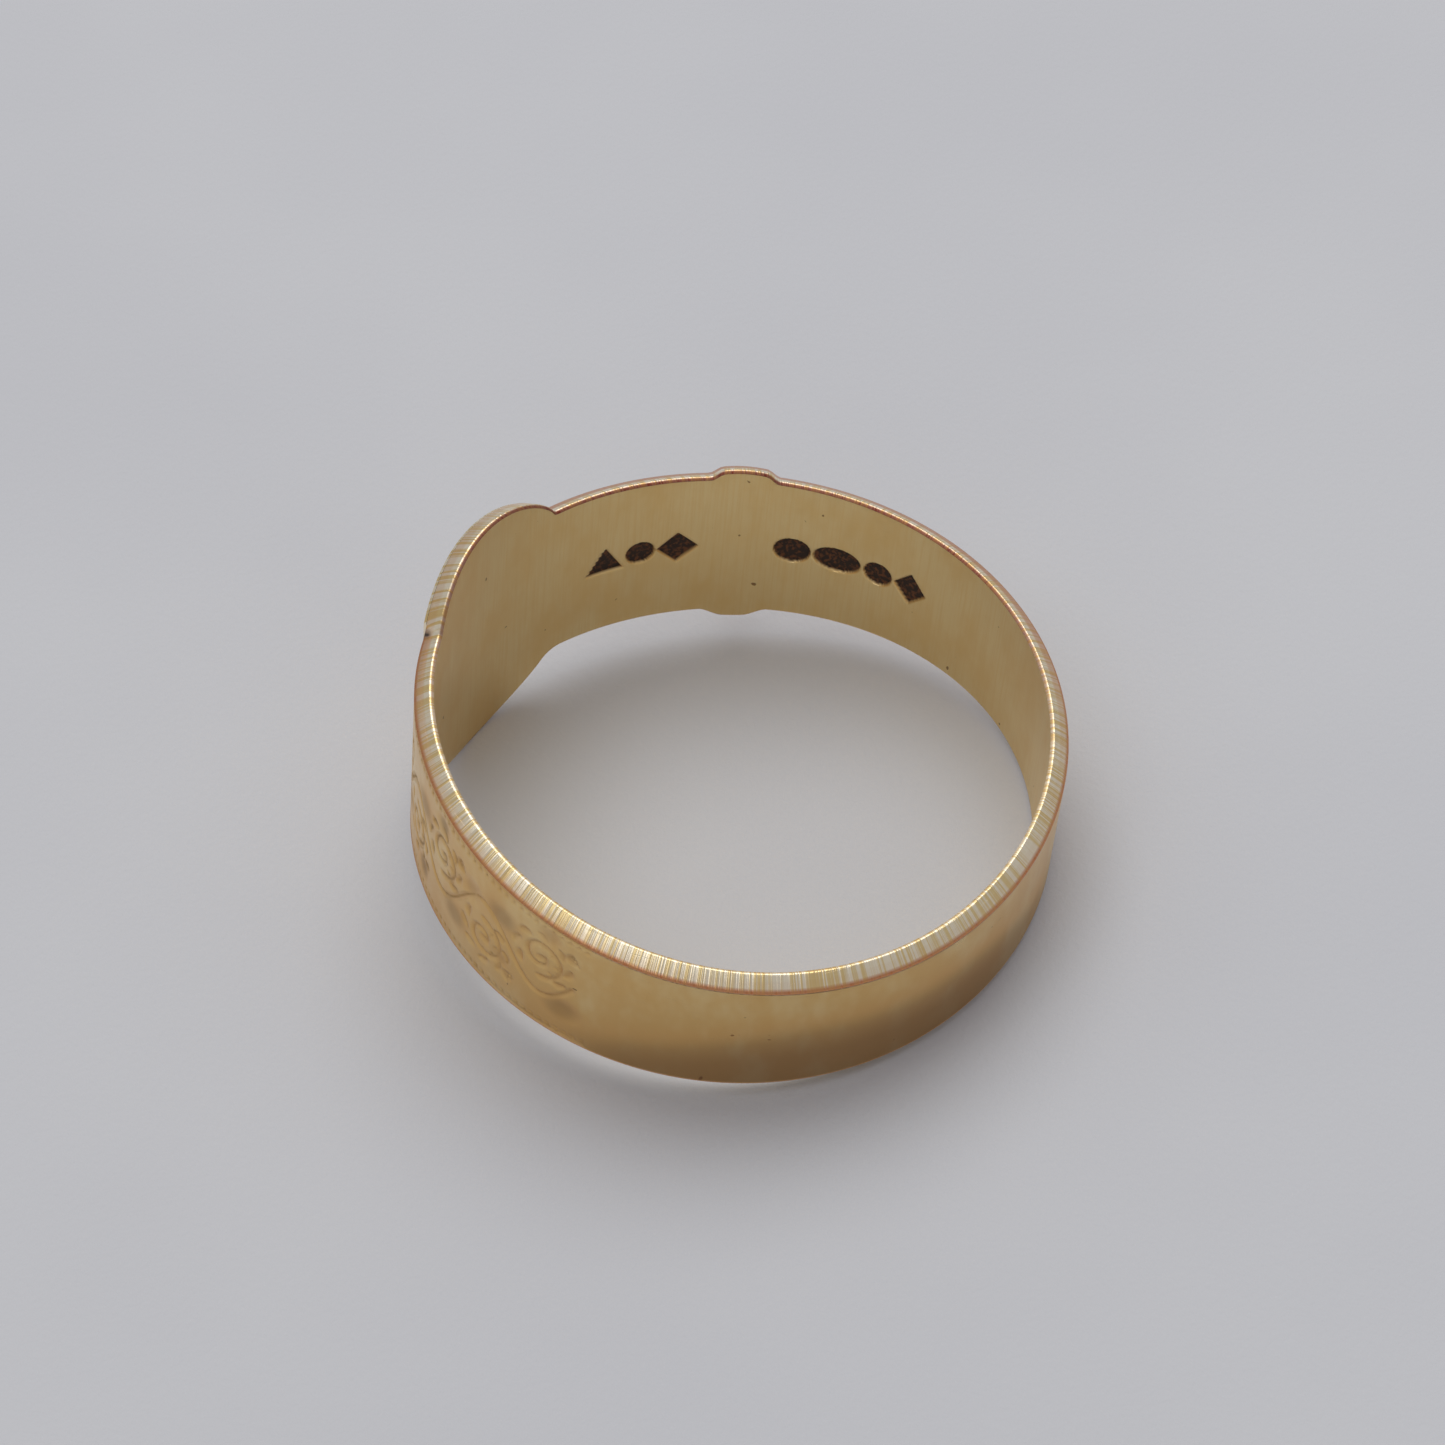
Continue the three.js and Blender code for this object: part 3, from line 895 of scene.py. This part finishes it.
def settle(points):
    """The ring's frame, in millimetres, to the row's axes, in metres, with the bore still at the origin."""
    lean = rest_lean()
    c, s = math.cos(lean), math.sin(lean)
    turn = np.array([[1, 0, 0], [0, c, s], [0, -s, c]])
    return points @ turn.T * MM


def placement(shape):
    """How far to move the settled pieces so that the band fills the CAD band's box."""
    points = settle(np.concatenate(shape.points))
    low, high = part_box("band")
    low, high = np.array(low), np.array(high)
    middle = (low + high) / 2 - (points.min(0) + points.max(0)) / 2
    return np.array([middle[0], middle[1], low[2] - points[:, 2].min()])


def make_piece(name, shape, move, material):
    """A shape as a Blender piece that replaces its CAD node and carries its zones for the gold."""
    points = np.concatenate(shape.points)
    mesh = bpy.data.meshes.new(name)
    mesh.from_pydata((settle(points) + move).tolist(), [], shape.faces)
    around = points.copy()
    flat = np.hypot(points[:, 0], points[:, 1])[:, None]
    around[:, :2] = points[:, :2] / flat * OUTER_RADIUS
    where = mesh.attributes.new("around", "FLOAT_VECTOR", "POINT")
    where.data.foreach_set("vector", around.astype(np.float32).ravel())
    zones = mesh.attributes.new("zones", "FLOAT_COLOR", "POINT")
    zones.data.foreach_set("color", np.concatenate(shape.zones).astype(np.float32).ravel())
    mesh.shade_smooth()
    mesh.set_sharp_from_angle(angle=math.radians(50))
    mesh.materials.append(material)
    piece = bpy.data.objects.new(name, mesh)
    bpy.context.scene.collection.objects.link(piece)
    face_outwards(piece)
    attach(piece, "root")
    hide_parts(name.removesuffix("_look"))


def face_outwards(piece):
    """Turns the faces so that the closed mesh's normals point out."""
    work = bmesh.new()
    work.from_mesh(piece.data)
    bmesh.ops.recalc_face_normals(work, faces=work.faces)
    work.to_mesh(piece.data)
    work.free()


# ---- materials ------------------------------------------------------------------------------------------


class Nodes:
    """Short names for building a node tree."""

    def __init__(self, name):
        self.material = bpy.data.materials.new(name)
        self.material.use_nodes = True
        self.tree = self.material.node_tree
        self.shader = self.tree.nodes["Principled BSDF"]

    def attribute(self, name):
        node = self.tree.nodes.new("ShaderNodeAttribute")
        node.attribute_name = name
        return node

    def put(self, target, value):
        if isinstance(value, bpy.types.NodeSocket):
            self.tree.links.new(value, target)
        elif value is not None:
            target.default_value = value

    def math(self, operation, a, b=None, c=None, clamp=False):
        node = self.tree.nodes.new("ShaderNodeMath")
        node.operation = operation
        node.use_clamp = clamp
        for socket, value in zip(node.inputs, (a, b, c)):
            self.put(socket, value)
        return node.outputs[0]

    def scale(self, vector, factors):
        node = self.tree.nodes.new("ShaderNodeVectorMath")
        node.operation = "MULTIPLY"
        self.put(node.inputs[0], vector)
        node.inputs[1].default_value = factors
        return node.outputs[0]

    def noise(self, vector, size=1.0, detail=2.0, roughness=0.5):
        node = self.tree.nodes.new("ShaderNodeTexNoise")
        self.put(node.inputs["Vector"], vector)
        node.inputs["Scale"].default_value = size
        node.inputs["Detail"].default_value = detail
        node.inputs["Roughness"].default_value = roughness
        return node.outputs["Fac"]

    def ramp(self, value, low, high, to_low=0.0, to_high=1.0):
        node = self.tree.nodes.new("ShaderNodeMapRange")
        node.interpolation_type = "SMOOTHSTEP"
        self.put(node.inputs["Value"], value)
        node.inputs["From Min"].default_value = low
        node.inputs["From Max"].default_value = high
        node.inputs["To Min"].default_value = to_low
        node.inputs["To Max"].default_value = to_high
        return node.outputs["Result"]

    def mix(self, share, a, b):
        node = self.tree.nodes.new("ShaderNodeMix")
        node.data_type = "RGBA"
        self.put(node.inputs[0], share)
        self.put(node.inputs[6], a)
        self.put(node.inputs[7], b)
        return node.outputs[2]

    def bump(self, height, distance, normal=None):
        node = self.tree.nodes.new("ShaderNodeBump")
        node.inputs["Distance"].default_value = distance
        self.put(node.inputs["Height"], height)
        if normal is not None:
            self.put(node.inputs["Normal"], normal)
        return node.outputs["Normal"]


def colour(red, green, blue):
    return (red, green, blue, 1.0)


GOLD = colour(0.88, 0.68, 0.34)
GOLD_WARM = colour(0.84, 0.60, 0.26)
GOLD_OUTSIDE = colour(0.78, 0.50, 0.19)
# The pale filed colour is painted sheen, and the two copper colours after it paint the edges' reflection.
GOLD_FILED_SHEEN = colour(1.0, 0.88, 0.66)
EDGE_REFLECTION_COPPER = colour(0.60, 0.20, 0.065)
EDGE_REFLECTION_DEEP = colour(0.24, 0.022, 0.004)
# These brown, amber and oxide colours serve dirt and painted shade alike.
BROWN_DIRT_AND_SHADE = colour(0.19, 0.075, 0.024)
AMBER = colour(0.60, 0.27, 0.07)
OXIDE_AND_SHADE = colour(0.030, 0.016, 0.010)
RED_OXIDE_AND_SHADE = colour(0.15, 0.055, 0.020)


class GoldSurface:
    """The zones and the noise patterns that the gold's colour, polish and relief share."""

    def __init__(self, n, dirt_and_shade_strength):
        zones = n.attribute("zones")
        parts = n.tree.nodes.new("ShaderNodeSeparateColor")
        n.tree.links.new(zones.outputs["Color"], parts.inputs[0])
        self.rim, self.edge, self.inside = parts.outputs[0], parts.outputs[1], parts.outputs[2]
        # The fourth zone holds dirt and painted shade together.
        self.dirt_and_shade = zones.outputs["Alpha"]
        self.outside = n.math("SUBTRACT", n.math("SUBTRACT", 1.0, self.rim), self.inside, clamp=True)
        self.dirt_and_shade_amount = n.math("MULTIPLY", self.dirt_and_shade, dirt_and_shade_strength, clamp=True)

        around = n.attribute("around").outputs["Vector"]
        self.blotch = n.noise(n.scale(around, (0.6, 0.6, 0.35)), 1.0, 3.0, 0.6)
        self.speck = n.noise(around, 7.0, 2.0, 0.6)
        self.axial = n.noise(n.scale(around, (11, 11, 0.3)), 1.0, 3.0, 0.65)
        self.files = n.noise(n.scale(around, (8, 8, 0.2)), 1.0, 2.0, 0.9)
        hoop = n.noise(n.scale(around, (0.5, 0.5, 22)), 1.0, 3.0, 0.6)
        self.scratch = n.ramp(hoop, 0.64, 0.72)
        pit = n.noise(around, 3.2, 1.0, 0.4)
        self.pits = n.math("MULTIPLY", n.ramp(pit, 0.785, 0.81), n.math("SUBTRACT", 1.0, self.rim))


def gold_colour(n, s):
    """Gold that is warmer outside, with painted pale sheen on the filed rim, painted copper-red reflection
    on its edges, and brown in the dirt and the painted shade.
    """
    base = n.mix(n.ramp(s.blotch, 0.35, 0.7), GOLD, GOLD_WARM)
    base = n.mix(n.math("MULTIPLY", s.outside, n.ramp(s.blotch, 0.3, 0.6, 0.35, 0.95)), base, GOLD_OUTSIDE)
    base = n.mix(n.math("MULTIPLY", s.inside, n.ramp(s.axial, 0.42, 0.66, 0.0, 0.55)), base, GOLD_WARM)
    # Painted sheen: pale streaks along the file lines on the filed rim.
    filed = n.math("MULTIPLY", s.rim, n.ramp(s.files, 0.44, 0.58, 1.0, 0.0))
    base = n.mix(filed, base, GOLD_FILED_SHEEN)
    # Painted reflection: copper-red on the edges, deep red by the bore.
    copper = n.mix(s.inside, EDGE_REFLECTION_COPPER, EDGE_REFLECTION_DEEP)
    base = n.mix(n.math("MULTIPLY", s.edge, n.ramp(s.files, 0.3, 0.7, 0.95, 0.7)), base, copper)
    base = n.mix(n.math("MULTIPLY", s.pits, 0.75), base, BROWN_DIRT_AND_SHADE)
    # Brown to near black where dirt sits and where shade is painted.
    faint_dirt_and_shade = n.mix(n.ramp(s.dirt_and_shade, 0.1, 0.5), AMBER, BROWN_DIRT_AND_SHADE)
    dark = n.mix(n.ramp(s.speck, 0.45, 0.65), OXIDE_AND_SHADE, RED_OXIDE_AND_SHADE)
    return n.mix(s.dirt_and_shade_amount, base, n.mix(n.ramp(s.dirt_and_shade, 0.66, 0.92), faint_dirt_and_shade, dark))


def gold_roughness(n, s, satin):
    """Satin that is duller inside, by the bore's edge, along scratches and in the dirt and painted shade.
    """
    rough = n.math("MULTIPLY_ADD", s.inside, 0.07, satin)
    rough = n.math("MULTIPLY_ADD", n.math("MULTIPLY", s.rim, s.inside), 0.2, rough)
    rough = n.math("MULTIPLY_ADD", s.blotch, 0.10, rough)
    rough = n.math("MULTIPLY_ADD", s.scratch, 0.08, rough)
    return n.math("MULTIPLY_ADD", s.dirt_and_shade_amount, 0.35, rough, clamp=True)


def gold_relief(n, s):
    """Fine lines, filing and rubs, then broad unevenness with pits."""
    lines = n.math("MULTIPLY", s.axial, n.math("MULTIPLY_ADD", s.inside, 0.9, 0.1))
    filing = n.math("MULTIPLY", s.files, n.math("MULTIPLY", s.rim, FILING_DEPTH))
    rubs = n.math("MULTIPLY", s.scratch, -0.4)
    normal = n.bump(n.math("ADD", n.math("ADD", lines, filing), rubs), LINE_DEPTH * MM)
    height = n.math("ADD", s.blotch, n.math("MULTIPLY", s.speck, 0.1))
    return n.bump(n.math("SUBTRACT", height, n.math("MULTIPLY", s.pits, 0.6)), HAMMER_DEPTH * MM, normal)


def gold(name, satin, dirt_and_shade_strength):
    """Worn 9 carat gold. Zones on the mesh say where the filed rim, its edges with painted reflection, the
    inside, and dirt with painted shade are.
    """
    n = Nodes(name)
    surface = GoldSurface(n, dirt_and_shade_strength)
    n.put(n.shader.inputs["Base Color"], gold_colour(n, surface))
    metallic = n.math("SUBTRACT", 1.0, n.math("MULTIPLY", surface.dirt_and_shade_amount, 0.75))
    n.put(n.shader.inputs["Metallic"], metallic)
    n.put(n.shader.inputs["Roughness"], gold_roughness(n, surface, satin))
    n.put(n.shader.inputs["Normal"], gold_relief(n, surface))
    return n.material


def floor_material():
    """Pale matte card."""
    n = Nodes("pale_floor")
    coordinates = n.tree.nodes.new("ShaderNodeTexCoord").outputs["Object"]
    cloud = n.noise(coordinates, 40.0, 3.0, 0.5)
    grain = n.noise(coordinates, 4000.0, 2.0, 0.6)
    base = n.mix(n.ramp(cloud, 0.3, 0.7), colour(0.60, 0.60, 0.615), colour(0.63, 0.63, 0.64))
    n.put(n.shader.inputs["Base Color"], base)
    n.put(n.shader.inputs["Roughness"], 0.85)
    n.put(n.shader.inputs["Specular IOR Level"], 0.2)
    n.put(n.shader.inputs["Normal"], n.bump(grain, 0.02 * MM))
    return n.material


# ---- floor, light and camera ----------------------------------------------------------------------------

FLOOR_SIZE = 3.0
CAMERA_AZIMUTH = 124.7
CAMERA_ELEVATION = 46.5
CAMERA_ROLL = -3.6
CAMERA_DISTANCE = 0.150
CAMERA_LENS = 125.1
CAMERA_AIM = (-1.469, -1.485)  # from the bore's centre, level, in millimetres
WORLD_STRENGTH = 0.44


def direction(azimuth, elevation):
    a, e = math.radians(azimuth), math.radians(elevation)
    return Vector((math.sin(a) * math.cos(e), -math.cos(a) * math.cos(e), math.sin(e)))


def add_floor():
    bpy.ops.mesh.primitive_plane_add(size=FLOOR_SIZE)
    floor = bpy.context.object
    floor.name = "floor"
    floor.data.materials.append(floor_material())


def add_light(name, azimuth, elevation, distance, size, power):
    data = bpy.data.lights.new(name, "AREA")
    data.shape = "DISK"
    data.size = size
    data.energy = power
    light = bpy.data.objects.new(name, data)
    back = direction(azimuth, elevation)
    light.location = back * distance
    light.rotation_mode = "QUATERNION"
    light.rotation_quaternion = back.to_track_quat("Z", "Y")
    bpy.context.scene.collection.objects.link(light)


def add_world(strength):
    world = bpy.data.worlds.new("studio")
    world.use_nodes = True
    background = world.node_tree.nodes["Background"]
    background.inputs["Color"].default_value = colour(0.93, 0.94, 1.0)
    background.inputs["Strength"].default_value = strength
    bpy.context.scene.world = world


def add_camera(bore_centre):
    data = bpy.data.cameras.new("camera")
    data.lens = CAMERA_LENS
    data.sensor_width = 36
    data.clip_start = 0.01
    camera = bpy.data.objects.new("camera", data)
    bpy.context.scene.collection.objects.link(camera)
    bpy.context.scene.camera = camera
    back = direction(CAMERA_AZIMUTH, CAMERA_ELEVATION)
    target = bore_centre + Vector((CAMERA_AIM[0], CAMERA_AIM[1], 0)) * MM
    camera.location = target + back * CAMERA_DISTANCE
    camera.rotation_mode = "QUATERNION"
    level = back.to_track_quat("Z", "Y")
    camera.rotation_quaternion = level @ Matrix.Rotation(math.radians(CAMERA_ROLL), 4, "Z").to_quaternion()


# ---- the scene ------------------------------------------------------------------------------------------

band = band_shape()
move = placement(band)
bore_centre = Vector(move.tolist())
band_gold = gold("band_gold", satin=0.24, dirt_and_shade_strength=1.0)
engraved_gold = gold("engraved_gold", satin=0.22, dirt_and_shade_strength=1.0)
polished_gold = gold("polished_gold", satin=0.17, dirt_and_shade_strength=0.9)
make_piece("band_look", band, move, band_gold)
make_piece("belt_end_look", belt_end_shape(), move, engraved_gold)
make_piece("buckle_frame_look", buckle_frame_shape(), move, polished_gold)
make_piece("buckle_tongue_look", buckle_tongue_shape(), move, polished_gold)
make_piece("keeper_loop_look", keeper_loop_shape(), move, polished_gold)

add_floor()
add_world(WORLD_STRENGTH)
add_light("back_softbox", CAMERA_AZIMUTH + 176, 64, distance=0.6, size=0.58, power=1.65)
add_light("rim_light", CAMERA_AZIMUTH - 45, 62, distance=0.7, size=0.42, power=0.42)
add_camera(bore_centre)
bpy.context.scene.view_settings.view_transform = "Standard"
